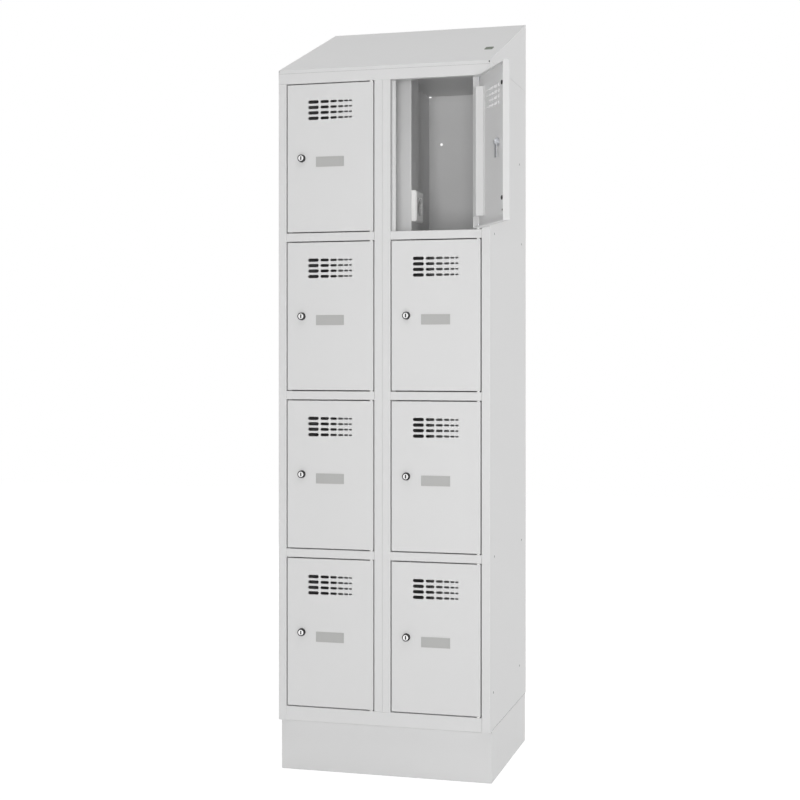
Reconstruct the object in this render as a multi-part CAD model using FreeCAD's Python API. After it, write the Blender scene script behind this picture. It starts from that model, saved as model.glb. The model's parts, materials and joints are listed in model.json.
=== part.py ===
"""Charging cabinet: two columns of lockable compartments, each with an outlet, under a sloping roof.

All lengths are millimetres. The pieces are drawn in cabinet coordinates: x from the left side,
d (depth) from the front face, z from the underside of the body. When they are written they move to
the part's frame: origin on the floor at the centre of the footprint, front towards -Y, +Z up.
"""
import FreeCAD, Part
import math
import os

V = FreeCAD.Vector

# Counts and names
column_names = ("left", "right")
row_count = 4
vent_rows = 4
vent_columns = 6
nut_sides = 6

# Body and sheet metal
module_width = 300.0
body_depth = 500.0
body_height = 1800.0
sheet = 1.0
bend_inside = 0.5
seat_clearance = 0.3
seam_gap = 0.1
roof_seam_gap = 0.7
foot_seam_gap = 1.2
cut_overrun = 5.0

# Front frame
stile_width = 23.0
sill_height = 39.0
head_height = 39.0
rail_height = 23.0
return_depth = 20.0
stop_width = 9.5
frame_lip = 17.0
rear_flange = 15.0
shelf_flange = 20.0
floor_front_lip = 40.0
floor_rear_lip = 35.0

# Holes in the back and the sides
wall_hole_radius = 4.0
wall_hole_from_column = 39.7
wall_hole_below_top = 147.6
relief_half_width = 8.5
relief_height = 4.0
join_hole_radius = 2.5
join_hole_from_front = 44.4
join_hole_from_back = 96.3
join_hole_from_bottom = 99.6
join_hole_from_top = 229.0

# Roof
roof_angle = 22.0
roof_lip = 10.0
roof_lip_end_gap = 2.0
roof_step = 3.0
roof_fold_radius = 1.5
roof_flange = 15.0
roof_flange_front = 60.0
roof_relief_radius = 1.8

# Cable grommet in the roof
grommet_from_right = 37.8
grommet_from_front = 162.0
grommet_width = 22.0
grommet_length = 30.0
grommet_rim_height = 1.6
grommet_corner_radius = 3.0
grommet_grip = 2.5
grommet_dish_inset = 3.5
grommet_dish_depth = 0.8

# Plinth
plinth_height = 142.0
plinth_sheet = 1.5
plinth_front_recess = 25.0
plinth_side_inset = 0.2
plinth_back_inset = 12.0
plinth_top_flange = 30.0
plinth_foot_flange = 20.0

# Doors
door_gap = 3.0
door_depth = 18.0
open_angle = 120.7
open_door = ("right", 1)
lock_lip = 28.0
foot_lip = 4.0
top_flange = 11.0
top_ear = 38.0
lip_end_notch = 31.0
lip_foot_notch = 15.0
lip_hole_radius = 2.0
lip_hole_inset = 5.5
lip_hole_height = 27.0
stiffener_lap = 10.0
stiffener_width = 24.0
stiffener_run = 16.0
stiffener_foot = 8.0

# Vents: each slot and gap is a share of the one before it
vent_length = 30.8
vent_height = 9.2
vent_spacing = 5.3
vent_pitch = 15.0
vent_below_top = 49.0
vent_share = 0.785
vent_height_share = 0.86

# Hinges
hinge_inset = 6.5
hinge_depth = 4.8
pin_radius = 2.5
pin_root = 8.0
pin_reach = 12.0
pin_seat_clearance = 0.05
pin_running_clearance = 0.08
bush_radius = 4.7
bush_play = 0.2

# Locks
lock_inset = 42.0
lock_proud = 8.5
bezel_base_radius = 11.0
bezel_front_radius = 9.9
barrel_radius = 9.5
barrel_seat_clearance = 0.1
plug_face_radius = 7.4
plug_face_depth = 4.0
plug_radius = 6.0
plug_clearance = 0.06
key_slot_width = 4.0
key_slot_height = 10.4
key_slot_depth = 3.0
nut_across_flats = 24.0
nut_thickness = 5.0
cam_play = 1.2
cam_thickness = 2.2
cam_width = 16.0
cam_overlap = 4.5
cam_clearance = 0.2
cam_screw_radius = 5.0
cam_screw_height = 2.5

# Buffers and label holders
buffer_radius = 6.0
buffer_top_radius = 5.0
buffer_inset = 7.5
buffer_from_end = 58.0
buffer_clearance = 0.3
label_width = 80.5
label_height = 27.7
label_thickness = 1.4
label_rim = 2.4
label_rim_height = 0.5
label_drop = 10.8

# Cable ducts
duct_width = 50.8
duct_front = 110.0
duct_depth = 80.0
duct_clearance = 0.5
cable_hole_room = 4.5

# Outlets
outlet_depth = 75.0
outlet_height = 86.0
outlet_thickness = 14.0
outlet_bevel = 3.5
outlet_above_shelf = 37.0
insert_radius = 21.4
insert_clearance = 0.1
insert_below_face = 0.8
insert_drop = 5.0
recess_radius = 19.0
recess_depth = 17.0
recess_floor = 3.0
contact_hole_radius = 2.5
contact_hole_depth = 2.0
contact_pitch = 19.0
earth_pin_radius = 2.4
earth_pin_length = 13.0
earth_pin_rise = 10.0
terminal_radius = 8.0
port_width = 13.0
port_height = 5.6
port_depth = 9.0
port_pitch = 18.0
port_rise = 23.0
port_base = 1.0
port_tongue_height = 2.0
port_tongue_inset = 0.9
port_clearance = 0.1

# Wiring above the top panel and in the ducts
junction_width = 90.0
junction_from_right = 90.0
junction_height_share = 0.7
cable_radius = 3.5
cable_bend_radius = 35.0
cable_pitch = 24.0
cable_clearance = 0.3

# Worked-out sizes
column_count = len(column_names)
width = column_count * module_width
bend_outside = bend_inside + sheet
back_inside = body_depth - 2 * sheet
lintel_bottom = body_height - head_height
ceiling = body_height - sheet
opening_width = module_width - 2 * stile_width
opening_height = (lintel_bottom - sill_height - (row_count - 1) * rail_height) / row_count
row_pitch = opening_height + rail_height
door_width = opening_width - 2 * door_gap
door_height = opening_height - 2 * door_gap
frame_depth = max(return_depth, frame_lip) + sheet
hinge_from_column = module_width - stile_width - door_gap - hinge_inset
barrel_end = return_depth + sheet + cam_play
cam_reach = lock_inset + door_gap - stop_width + cam_overlap
roof_tan = math.tan(math.radians(roof_angle))
roof_cos = math.cos(math.radians(roof_angle))
roof_drop = sheet / roof_cos
duct_middle = duct_front + duct_depth / 2
duct_face = sheet + duct_width
duct_centre = sheet + duct_width / 2
cable_hole_radius = cable_pitch / 2 + cable_radius + cable_hole_room


# Shape helpers

def box(x, d, z):
    """A block between pairs of values along x, depth and height."""
    return Part.makeBox(x[1] - x[0], d[1] - d[0], z[1] - z[0], V(x[0], d[0], z[0]))


def rod(radius, start, length, direction):
    """A round bar from a start point along a direction."""
    return Part.makeCylinder(radius, length, V(*start), V(*direction))


def plan(u, v):
    """A section point seen from above: across and back."""
    return V(u, v, 0)


def profile(u, v):
    """A section point seen from the side: back and up."""
    return V(0, u, v)


def offset_line(points, distance):
    """The same open line, moved to its left by a distance."""
    headings = [(b - a).normalize() for a, b in zip(points, points[1:])]
    normals = [V(-h.y, h.x, 0) for h in headings]
    moved = [points[0] + normals[0] * distance]
    for corner, before, after in zip(points[1:-1], normals, normals[1:]):
        moved.append(corner + (before + after) * (distance / (1 + before.dot(after))))
    moved.append(points[-1] + normals[-1] * distance)
    return moved


def rounded_edges(points, radii, to_space):
    """Edges of an open line, with an arc of the given radius at each inner corner."""
    edges = []
    start = points[0]
    for before, corner, after, radius in zip(points, points[1:], points[2:], radii):
        back = (before - corner).normalize()
        on = (after - corner).normalize()
        half = back.getAngle(on) / 2
        first = corner + back * (radius / math.tan(half))
        last = corner + on * (radius / math.tan(half))
        inward = (back + on).normalize()
        middle = corner + inward * (radius / math.sin(half) - radius)
        edges.append(Part.LineSegment(to_space(start.x, start.y), to_space(first.x, first.y)).toShape())
        if radius:
            arc = Part.Arc(*[to_space(p.x, p.y) for p in (first, middle, last)])
            edges.append(arc.toShape())
        start = last
    end = points[-1]
    edges.append(Part.LineSegment(to_space(start.x, start.y), to_space(end.x, end.y)).toShape())
    return edges


def folded(path, to_space, sharp=()):
    """The section of a folded sheet. The path is its outer face, with the metal on its left."""
    outer = [V(u, v, 0) for u, v in path]
    inner = offset_line(outer, sheet)
    outer_radii = []
    inner_radii = []
    for index, (a, b, c) in enumerate(zip(outer, outer[1:], outer[2:]), start=1):
        turns_left = (b - a).cross(c - b).z > 0
        small = 0 if index in sharp else bend_inside
        large = 0 if index in sharp else bend_outside
        outer_radii.append(large if turns_left else small)
        inner_radii.append(small if turns_left else large)
    edges = rounded_edges(outer, outer_radii, to_space) + rounded_edges(inner, inner_radii, to_space)
    for a, b in ((outer[0], inner[0]), (outer[-1], inner[-1])):
        edges.append(Part.LineSegment(to_space(a.x, a.y), to_space(b.x, b.y)).toShape())
    return Part.Face(Part.Wire(Part.__sortEdges__(edges)))


def turned(outline, axis_point, axis):
    """A solid of revolution from an outline of (radius, position) points about an axis along depth."""
    points = [V(radius, position, 0) for radius, position in outline]
    face = Part.Face(Part.makePolygon(points + points[:1]))
    solid = face.revolve(V(0, 0, 0), V(0, 1, 0), 360)
    solid.Placement = FreeCAD.Placement(V(*axis_point), FreeCAD.Rotation(V(0, 1, 0), V(*axis)))
    return solid


def moved(shape, x=0, d=0, z=0):
    """A copy of a shape, shifted."""
    copy = shape.copy()
    copy.translate(V(x, d, z))
    return copy


def merged(shapes):
    """Several touching or overlapping shapes as one clean solid."""
    return shapes[0].multiFuse(shapes[1:]).removeSplitter()


def columns():
    """Each column's name and the x of its left side."""
    return [(name, index * module_width) for index, name in enumerate(column_names)]


def opening_bottom(row):
    """The z of an opening's lower edge. Row 1 is the highest."""
    return sill_height + (row_count - row) * row_pitch


# Uprights: side panels and partition halves

def upright(depth, base, top, flange, with_stop):
    """A full-height wall folded into a stile, a return and, on the lock side, a door stop."""
    path = [(0, depth), (0, 0), (stile_width, 0), (stile_width, return_depth + sheet)]
    if with_stop:
        path[-1] = (stile_width, return_depth)
        path.append((stile_width + stop_width, return_depth))
    if flange:
        path.insert(0, (flange, depth))
    wall = folded(path, plan).extrude(V(0, 0, top - base))
    wall.translate(V(0, 0, base))
    above = (lintel_bottom - seam_gap, top + cut_overrun)
    stop_end = stile_width + stop_width + cut_overrun
    frame_top = box((sheet, stop_end), (-cut_overrun, frame_depth), above)
    corner = box((-cut_overrun, stop_end), (-cut_overrun, bend_outside), above)
    cuts = [frame_top, corner]
    if with_stop:
        across = (stile_width, stop_end)
        through = (bend_outside, frame_depth + cut_overrun)
        cuts.append(box(across, through, (-cut_overrun, sill_height)))
        for row in range(1, row_count):
            rail_top = opening_bottom(row)
            cuts.append(box(across, through, (rail_top - rail_height, rail_top)))
    return wall.cut(Part.makeCompound(cuts))


def mirrored(shape):
    """The shape turned over for the other side of a column."""
    return shape.mirror(V(module_width / 2, 0, 0), V(1, 0, 0))


def join_holes():
    """Bars that cut the holes by which two cabinets are bolted side by side."""
    bars = []
    for d in (join_hole_from_front, body_depth - join_hole_from_back):
        for z in (join_hole_from_bottom, body_height - join_hole_from_top):
            bars.append(rod(join_hole_radius, (-cut_overrun, d, z), 2 * cut_overrun, (1, 0, 0)))
    return Part.makeCompound(bars)


def side_panel(with_stop):
    """An outer wall with a seam under the roof, a seam along the plinth and the joining holes."""
    wall = upright(body_depth, 0, body_height - roof_seam_gap, rear_flange, with_stop)
    foot_seam = box((-cut_overrun, rear_flange + cut_overrun),
                    (plinth_front_recess, body_depth + cut_overrun), (-cut_overrun, foot_seam_gap))
    return wall.cut(Part.makeCompound([foot_seam, join_holes()]))


def partition(with_stop):
    half = upright(back_inside, sill_height, ceiling, 0, with_stop)
    across = (-cut_overrun, module_width)
    over_lip = box(across, (-cut_overrun, frame_depth), (lintel_bottom, body_height))
    past_flange = box(across, (back_inside - bend_outside, body_depth),
                      (body_height - shelf_flange - seat_clearance, body_height))
    over_sill = box(across, (-cut_overrun, frame_depth), (sill_height - cut_overrun, sill_height + seam_gap))
    return half.cut(Part.makeCompound([over_lip, past_flange, over_sill]))


# Panels and shelves

def front_corners(low, high):
    """Blocks that notch a panel round the hollow stiles at the two ends of a span."""
    reach = (-cut_overrun, frame_depth + seat_clearance)
    height = (-cut_overrun, body_height + cut_overrun)
    left = box((low - cut_overrun, low + stile_width + seam_gap), reach, height)
    right = box((high - stile_width - seam_gap, high + cut_overrun), reach, height)
    return [left, right]


def pin_holes(base, height):
    """Bars that cut the seats of the hinge pins in every column."""
    bars = []
    for name, left in columns():
        start = (left + hinge_from_column, hinge_depth, base)
        bars.append(rod(pin_radius + pin_seat_clearance, start, height, (0, 0, 1)))
    return bars


def middle_relief():
    """A block that cuts the relief at the middle of the back, under the ceiling."""
    middle = width / 2
    return box((middle - relief_half_width, middle + relief_half_width),
               (back_inside - cut_overrun, body_depth), (ceiling - relief_height, ceiling))


def lip_reliefs():
    """Bars that cut the bending reliefs where the roof's front lip ends."""
    bars = []
    for x in (roof_lip_end_gap, width - roof_lip_end_gap):
        start = (x, -cut_overrun, body_height - 2 * roof_relief_radius)
        bars.append(rod(roof_relief_radius, start, 2 * cut_overrun, (0, 1, 0)))
    return bars


def top_panel():
    """Ceiling with a rear flange, a step under the roof's lip and a lintel across the whole front."""
    path = [(back_inside, body_height - shelf_flange), (back_inside, body_height), (roof_step, body_height),
            (roof_step, body_height - roof_lip), (0, body_height - roof_lip), (0, lintel_bottom),
            (frame_lip, lintel_bottom)]
    panel = folded(path, profile, sharp=(2, 3, 4)).extrude(V(width, 0, 0))
    behind = (sheet, body_depth)
    height = (lintel_bottom - cut_overrun, body_height + cut_overrun)
    cuts = [box((-cut_overrun, sheet), behind, height),
            box((width - sheet, width + cut_overrun), behind, height)]
    cuts += pin_holes(lintel_bottom - cut_overrun, 2 * cut_overrun)
    cuts += [middle_relief()] + lip_reliefs()
    for name, left in columns():
        start = (left + duct_centre, duct_middle, ceiling - cut_overrun)
        cuts.append(rod(cable_hole_radius, start, 2 * cut_overrun, (0, 0, 1)))
    return panel.cut(Part.makeCompound(cuts))


def floor_panel():
    """Floor folded down into a sill at the front and a skirt at the back, with lips on the plinth."""
    path = [(back_inside - floor_rear_lip, 0), (back_inside, 0), (back_inside, sill_height), (0, sill_height),
            (0, 0), (floor_front_lip, 0)]
    panel = folded(path, profile).extrude(V(width - 2 * sheet, 0, 0))
    panel.translate(V(sheet, 0, 0))
    cuts = front_corners(0, width) + pin_holes(sill_height - cut_overrun, 2 * cut_overrun)
    return panel.cut(Part.makeCompound(cuts))


def back_panel():
    """Flat back held inside the side flanges, with wall-fixing holes and a relief at the top."""
    edge = sheet + bend_inside
    panel = box((edge, width - edge), (back_inside, back_inside + sheet), (0, body_height))
    cuts = [middle_relief()]
    for name, left in columns():
        start = (left + wall_hole_from_column, back_inside - cut_overrun, body_height - wall_hole_below_top)
        cuts.append(rod(wall_hole_radius, start, 3 * cut_overrun, (0, 1, 0)))
    return panel.cut(Part.makeCompound(cuts))


def shelf(row):
    """The shelf under a row: a plate folded down into a front rail, side flanges and a rear flange."""
    top = opening_bottom(row)
    bottom = top - rail_height
    path = [(back_inside, top - shelf_flange), (back_inside, top), (0, top), (0, bottom), (frame_lip, bottom)]
    left, right = sheet, module_width - sheet
    plate = folded(path, profile).extrude(V(right - left, 0, 0))
    plate.translate(V(left, 0, 0))
    run = (frame_depth + seat_clearance, back_inside - bend_outside)
    hang = (top - shelf_flange, top - sheet / 2)
    flanges = [box((left, left + sheet), run, hang), box((right - sheet, right), run, hang)]
    tray = merged([plate] + flanges)
    duct_side = (-cut_overrun, duct_face + duct_clearance)
    duct_run = (duct_front - duct_clearance, duct_front + duct_depth + duct_clearance)
    cuts = front_corners(0, module_width)
    cuts.append(box(duct_side, duct_run, (bottom - cut_overrun, top + cut_overrun)))
    seat = (hinge_from_column, hinge_depth, bottom - cut_overrun)
    cuts.append(rod(pin_radius + pin_seat_clearance, seat, rail_height + 2 * cut_overrun, (0, 0, 1)))
    return tray.cut(Part.makeCompound(cuts))


# Roof and plinth

def roof_prism(low_x, high_x, drop, back):
    """The wedge under the roof's slope, lowered by a drop and ending at a back face."""
    front = drop / roof_tan
    points = [V(low_x, front, body_height), V(low_x, back, body_height + back * roof_tan - drop),
              V(low_x, back, body_height)]
    return Part.Face(Part.makePolygon(points + points[:1])).extrude(V(high_x - low_x, 0, 0))


def grommet_block(margin, low, high):
    """A round-cornered block at the cable grommet's place on the slope, smaller by a margin all round."""
    half_width = grommet_width / 2 - margin
    half_length = grommet_length / 2 - margin
    block = box((-half_width, half_width), (-half_length, half_length), (low, high))
    corners = [edge for edge in block.Edges if edge.BoundBox.ZLength > (high - low) / 2]
    block = block.makeFillet(min(grommet_corner_radius, half_width / 2), corners)
    point = V(width - grommet_from_right, grommet_from_front, body_height + grommet_from_front * roof_tan)
    block.Placement = FreeCAD.Placement(point, FreeCAD.Rotation(V(1, 0, 0), roof_angle))
    return block


def roof():
    """Sloping hood of one sheet: slope, gables, back, front lip and flanges that rest on the top panel."""
    shell = roof_prism(0, width, 0, body_depth).cut(
        roof_prism(sheet, width - sheet, roof_drop, body_depth - sheet))
    lip_x = (roof_lip_end_gap, width - roof_lip_end_gap)
    lip = box(lip_x, (0, sheet), (body_height - roof_lip + roof_seam_gap, body_height))
    seat = (body_height, body_height + sheet)
    run = (roof_flange_front, body_depth - sheet / 2)
    back_run = (body_depth - roof_flange, body_depth - sheet / 2)
    flanges = [box((sheet / 2, roof_flange), run, seat),
               box((width - roof_flange, width - sheet / 2), run, seat),
               box((sheet / 2, width - sheet / 2), back_run, seat)]
    hood = merged([shell, lip] + flanges)
    fold = [edge for edge in hood.Edges
            if all(abs(v.Y) < sheet / 2 and abs(v.Z - body_height) < sheet / 2 for v in edge.Vertexes)
            and edge.Length > module_width]
    hood = hood.makeFillet(min(roof_fold_radius, roof_lip / 2), fold)
    hole = grommet_block(grommet_grip - seat_clearance, -cut_overrun, cut_overrun)
    return hood.cut(Part.makeCompound([hole] + lip_reliefs()))


def cable_grommet():
    """Rubber grommet with a closed, dished middle, gripping the edge of the hole in the roof."""
    under = -sheet - seat_clearance
    rim = grommet_block(0, 0, grommet_rim_height)
    neck = grommet_block(grommet_grip, under, 0)
    bead = grommet_block(grommet_grip / 2, under - grommet_rim_height, under)
    dish = grommet_block(grommet_dish_inset, grommet_rim_height - grommet_dish_depth, cut_overrun)
    return merged([rim, neck, bead]).cut(dish)


def plinth():
    """Recessed base: a ring of four walls with flanges turned in at the top and at the floor."""
    x = (plinth_side_inset, width - plinth_side_inset)
    d = (plinth_front_recess, body_depth - plinth_back_inset)

    def inset(pair, amount):
        return (pair[0] + amount, pair[1] - amount)

    block = box(x, d, (-plinth_height, 0))
    level = [edge for edge in block.Edges if edge.BoundBox.ZLength < sheet]
    ring = block.makeFillet(plinth_sheet + bend_inside, level)
    hollow = box(inset(x, plinth_sheet), inset(d, plinth_sheet),
                 (plinth_sheet - plinth_height, -plinth_sheet))
    top_window = box(inset(x, plinth_top_flange), inset(d, plinth_top_flange),
                     (-plinth_height / 2, cut_overrun))
    foot_window = box(inset(x, plinth_foot_flange), inset(d, plinth_foot_flange),
                      (-plinth_height - cut_overrun, -plinth_height / 2))
    return ring.cut(Part.makeCompound([hollow, top_window, foot_window]))


# Doors, drawn closed from the lower free corner of the leaf

def vent_slots():
    """Rows of round-ended slots that shrink from the lock side towards the hinge side."""
    lengths = [vent_length * vent_share ** k for k in range(vent_columns)]
    heights = [vent_height * vent_height_share ** k for k in range(vent_columns)]
    gaps = [vent_spacing * vent_share ** k for k in range(vent_columns - 1)]
    x = (door_width - sum(lengths) - sum(gaps)) / 2
    cutters = []
    for length, height, gap in zip(lengths, heights, gaps + [0]):
        for row in range(vent_rows):
            z = door_height - vent_below_top - row * vent_pitch
            cutters.append(slot(x, x + length, z, height / 2))
        x += length + gap
    return cutters


def slot(low, high, z, radius):
    """A round-ended cutter through the skin of a door."""
    front = -cut_overrun
    low_centre, high_centre = low + radius, high - radius
    low_foot, low_head = V(low_centre, front, z - radius), V(low_centre, front, z + radius)
    high_foot, high_head = V(high_centre, front, z - radius), V(high_centre, front, z + radius)
    edges = [Part.LineSegment(low_foot, high_foot), Part.Arc(high_foot, V(high, front, z), high_head),
             Part.LineSegment(high_head, low_head), Part.Arc(low_head, V(low, front, z), low_foot)]
    outline = Part.Wire([edge.toShape() for edge in edges])
    return Part.Face(outline).extrude(V(0, 2 * cut_overrun, 0))


def door_leaf():
    """Folded tray with lips on the lock side and at the foot, vents, lock hole and hinge pin holes."""
    block = box((0, door_width), (0, door_depth), (0, door_height))
    front = [edge for edge in block.Edges if all(abs(v.Y) < sheet / 2 for v in edge.Vertexes)]
    block = block.makeFillet(bend_outside, front)
    hollow = box((sheet, door_width - sheet), (sheet, door_depth + cut_overrun), (sheet, door_height - sheet))
    tray = block.cut(hollow)
    lip_run = (door_depth - sheet, door_depth)
    lip_top = door_height - lip_end_notch
    lips = [box((sheet / 2, lock_lip), lip_run, (lip_foot_notch, lip_top)),
            box((lip_foot_notch, door_width - lip_foot_notch), lip_run, (sheet / 2, foot_lip))]
    leaf = merged([tray] + lips)
    cuts = vent_slots()
    cuts.append(box((sheet, door_width - top_ear), (top_flange, door_depth + cut_overrun),
                    (door_height - cut_overrun, door_height + cut_overrun)))
    cuts.append(rod(barrel_radius + barrel_seat_clearance, (lock_inset, -cut_overrun, door_height / 2),
                    2 * cut_overrun, (0, 1, 0)))
    small_hole = (lip_hole_inset, door_depth - cut_overrun, lip_hole_height)
    cuts.append(rod(lip_hole_radius, small_hole, 2 * cut_overrun, (0, 1, 0)))
    for z in (0, door_height):
        start = (door_width - hinge_inset, hinge_depth, z - cut_overrun)
        cuts.append(rod(pin_radius + pin_running_clearance, start, 2 * cut_overrun, (0, 0, 1)))
    return leaf.cut(Part.makeCompound(cuts))


def door_stiffener():
    """Strip welded to the hinge-side flange and to the leaf, which makes a box section along the hinges."""
    right = door_width - sheet
    crest = door_width - stiffener_width
    foot = crest - stiffener_run
    path = [(right, door_depth - stiffener_lap), (right, door_depth), (crest, door_depth), (foot, 2 * sheet),
            (foot - stiffener_foot, 2 * sheet)]
    strip = folded(path, plan).extrude(V(0, 0, door_height - 2 * lip_end_notch))
    strip.translate(V(0, 0, lip_end_notch))
    return strip


def label_holder():
    """Thin card holder with a raised rim, centred across the leaf."""
    x = ((door_width - label_width) / 2, (door_width + label_width) / 2)
    middle = door_height / 2 - label_drop
    z = (middle - label_height / 2, middle + label_height / 2)
    holder = box(x, (-label_thickness, 0), z)
    window = box((x[0] + label_rim, x[1] - label_rim), (-label_thickness - cut_overrun,
                 label_rim_height - label_thickness), (z[0] + label_rim, z[1] - label_rim))
    return holder.cut(window)


def buffers():
    """Two rubber buffers on the lip, which meet the door stop."""
    height = return_depth - door_depth - buffer_clearance
    discs = []
    for z in (buffer_from_end, door_height - buffer_from_end):
        base = V(buffer_inset, door_depth, z)
        discs.append(Part.makeCone(buffer_radius, buffer_top_radius, height, base, V(0, 1, 0)))
    return Part.makeCompound(discs)


def lock_housing():
    """Lock barrel with its bezel outside the leaf and its nut inside."""
    bore = plug_radius + plug_clearance
    face_bore = plug_face_radius + plug_clearance
    face_seat = plug_face_depth - lock_proud + plug_clearance
    outline = [(face_bore, -lock_proud), (bezel_front_radius, -lock_proud), (bezel_base_radius, 0),
               (barrel_radius, 0), (barrel_radius, barrel_end), (bore, barrel_end), (bore, face_seat),
               (face_bore, face_seat)]
    axis_point = (lock_inset, 0, door_height / 2)
    body = turned(outline, axis_point, (0, 1, 0))
    corner_radius = nut_across_flats / 2 / math.cos(math.pi / nut_sides)
    turns = [2 * math.pi * k / nut_sides for k in range(nut_sides + 1)]
    centre = V(lock_inset, sheet, door_height / 2)
    corners = [centre + V(math.cos(t), 0, math.sin(t)) * corner_radius for t in turns]
    nut = Part.Face(Part.makePolygon(corners)).extrude(V(0, nut_thickness, 0))
    thread = rod(barrel_radius + pin_seat_clearance, axis_point, cut_overrun + nut_thickness, (0, 1, 0))
    return Part.makeCompound([body, nut.cut(thread)])


def lock_plug():
    """Key plug with an upright key slot, and the cam on its far end hanging down, unlocked."""
    x, z = lock_inset, door_height / 2
    along = (0, 1, 0)
    cam_front = barrel_end + cam_clearance
    cam_back = cam_front + cam_thickness
    face = rod(plug_face_radius, (x, -lock_proud, z), plug_face_depth, along)
    shaft = rod(plug_radius, (x, -lock_proud, z), lock_proud + cam_back, along)
    screw = rod(cam_screw_radius, (x, cam_back, z), cam_screw_height, along)
    half = cam_width / 2
    edges = [Part.LineSegment(V(x - half, cam_front, z), V(x - half, cam_front, z - cam_reach)),
             Part.LineSegment(V(x - half, cam_front, z - cam_reach), V(x + half, cam_front, z - cam_reach)),
             Part.LineSegment(V(x + half, cam_front, z - cam_reach), V(x + half, cam_front, z)),
             Part.Arc(V(x + half, cam_front, z), V(x, cam_front, z + half), V(x - half, cam_front, z))]
    outline = Part.Wire([edge.toShape() for edge in edges])
    cam = Part.Face(outline).extrude(V(0, cam_thickness, 0))
    key_slot = box((x - key_slot_width / 2, x + key_slot_width / 2),
                   (-lock_proud - cut_overrun, key_slot_depth - lock_proud),
                   (z - key_slot_height / 2, z + key_slot_height / 2))
    return merged([face, shaft, screw, cam]).cut(key_slot)


# Hinges

def hinge_pins():
    """Two pins for each door: one standing in the rail below it, one hanging from the rail above."""
    length = pin_root + door_gap + pin_reach
    pins = []
    for name, left in columns():
        for row in range(1, row_count + 1):
            x = left + hinge_from_column
            low = opening_bottom(row)
            high = low + opening_height
            pins.append(rod(pin_radius, (x, hinge_depth, low - pin_root), length, (0, 0, 1)))
            pins.append(rod(pin_radius, (x, hinge_depth, high + pin_root), length, (0, 0, -1)))
    return Part.makeCompound(pins)


def hinge_bushes():
    """Plastic rings round the pins that fill the gaps above and below each door."""
    thickness = door_gap - bush_play
    rings = []
    for name, left in columns():
        for row in range(1, row_count + 1):
            low = opening_bottom(row)
            for z in (low, low + opening_height - thickness):
                start = (left + hinge_from_column, hinge_depth, z)
                bore = rod(pin_radius + pin_seat_clearance, start, thickness, (0, 0, 1))
                rings.append(rod(bush_radius, start, thickness, (0, 0, 1)).cut(bore))
    return Part.makeCompound(rings)


# Cable ducts, outlets and wiring

def outlet_middle(row):
    """The z of the middle of a row's outlet housing."""
    return opening_bottom(row) + outlet_above_shelf + outlet_height / 2


def each_outlet():
    """The x of the duct face and the z of the outlet's middle, for every compartment."""
    return [(left + duct_face, outlet_middle(row)) for name, left in columns()
            for row in range(1, row_count + 1)]


def cable_duct():
    """Channel along the lock-side wall of a column, from floor to ceiling, with a hole for each insert."""
    path = [(sheet, duct_front), (duct_face, duct_front), (duct_face, duct_front + duct_depth),
            (sheet, duct_front + duct_depth)]
    channel = folded(path, plan).extrude(V(0, 0, ceiling - sill_height))
    channel.translate(V(0, 0, sill_height))
    holes = []
    for row in range(1, row_count + 1):
        start = (duct_face - cut_overrun, duct_middle, outlet_middle(row) - insert_drop)
        holes.append(rod(insert_radius + insert_clearance, start, 2 * cut_overrun, (1, 0, 0)))
    return channel.cut(Part.makeCompound(holes))


def port_places():
    """Middles of the charging ports, across and above the middle of the housing."""
    return [(duct_middle + side * port_pitch / 2, port_rise) for side in (-1, 1)]


def outlet_housing():
    """Moulded cover with bevelled edges, a round hole for the insert and pockets for the charging ports."""
    d = (duct_middle - outlet_depth / 2, duct_middle + outlet_depth / 2)
    z = (-outlet_height / 2, outlet_height / 2)
    cover = box((0, outlet_thickness), d, z)
    face = [edge for edge in cover.Edges
            if all(abs(v.X - outlet_thickness) < sheet / 2 for v in edge.Vertexes)]
    cover = cover.makeChamfer(min(outlet_bevel, outlet_thickness / 2), face)
    start = (-cut_overrun, duct_middle, -insert_drop)
    cuts = [rod(insert_radius + insert_clearance, start, outlet_thickness + 2 * cut_overrun, (1, 0, 0))]
    for across, rise in port_places():
        cuts.append(box((outlet_thickness - port_depth, outlet_thickness + cut_overrun),
                        (across - port_width / 2, across + port_width / 2),
                        (rise - port_height / 2, rise + port_height / 2)))
    return cover.cut(Part.makeCompound(cuts))


def outlet_insert():
    """Socket cup with two contact holes, and behind it the terminal block that reaches the cable."""
    rim = outlet_thickness - insert_below_face
    floor = rim - recess_depth
    back = floor - recess_floor
    terminal_end = duct_centre + cable_radius + cable_clearance - duct_face
    middle = (duct_middle, -insert_drop)
    cup = rod(insert_radius, (back, *middle), rim - back, (1, 0, 0))
    terminal = rod(terminal_radius, (terminal_end, *middle), floor - terminal_end, (1, 0, 0))
    cuts = [rod(recess_radius, (floor, *middle), recess_depth + cut_overrun, (1, 0, 0))]
    for side in (-1, 1):
        start = (floor - contact_hole_depth, duct_middle + side * contact_pitch / 2, -insert_drop)
        cuts.append(rod(contact_hole_radius, start, contact_hole_depth + cut_overrun, (1, 0, 0)))
    return merged([cup, terminal]).cut(Part.makeCompound(cuts))


def earth_pin():
    """Round earth pin standing on the floor of the recess."""
    floor = outlet_thickness - insert_below_face - recess_depth
    start = (floor, duct_middle, earth_pin_rise - insert_drop)
    return rod(earth_pin_radius, start, earth_pin_length, (1, 0, 0))


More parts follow.
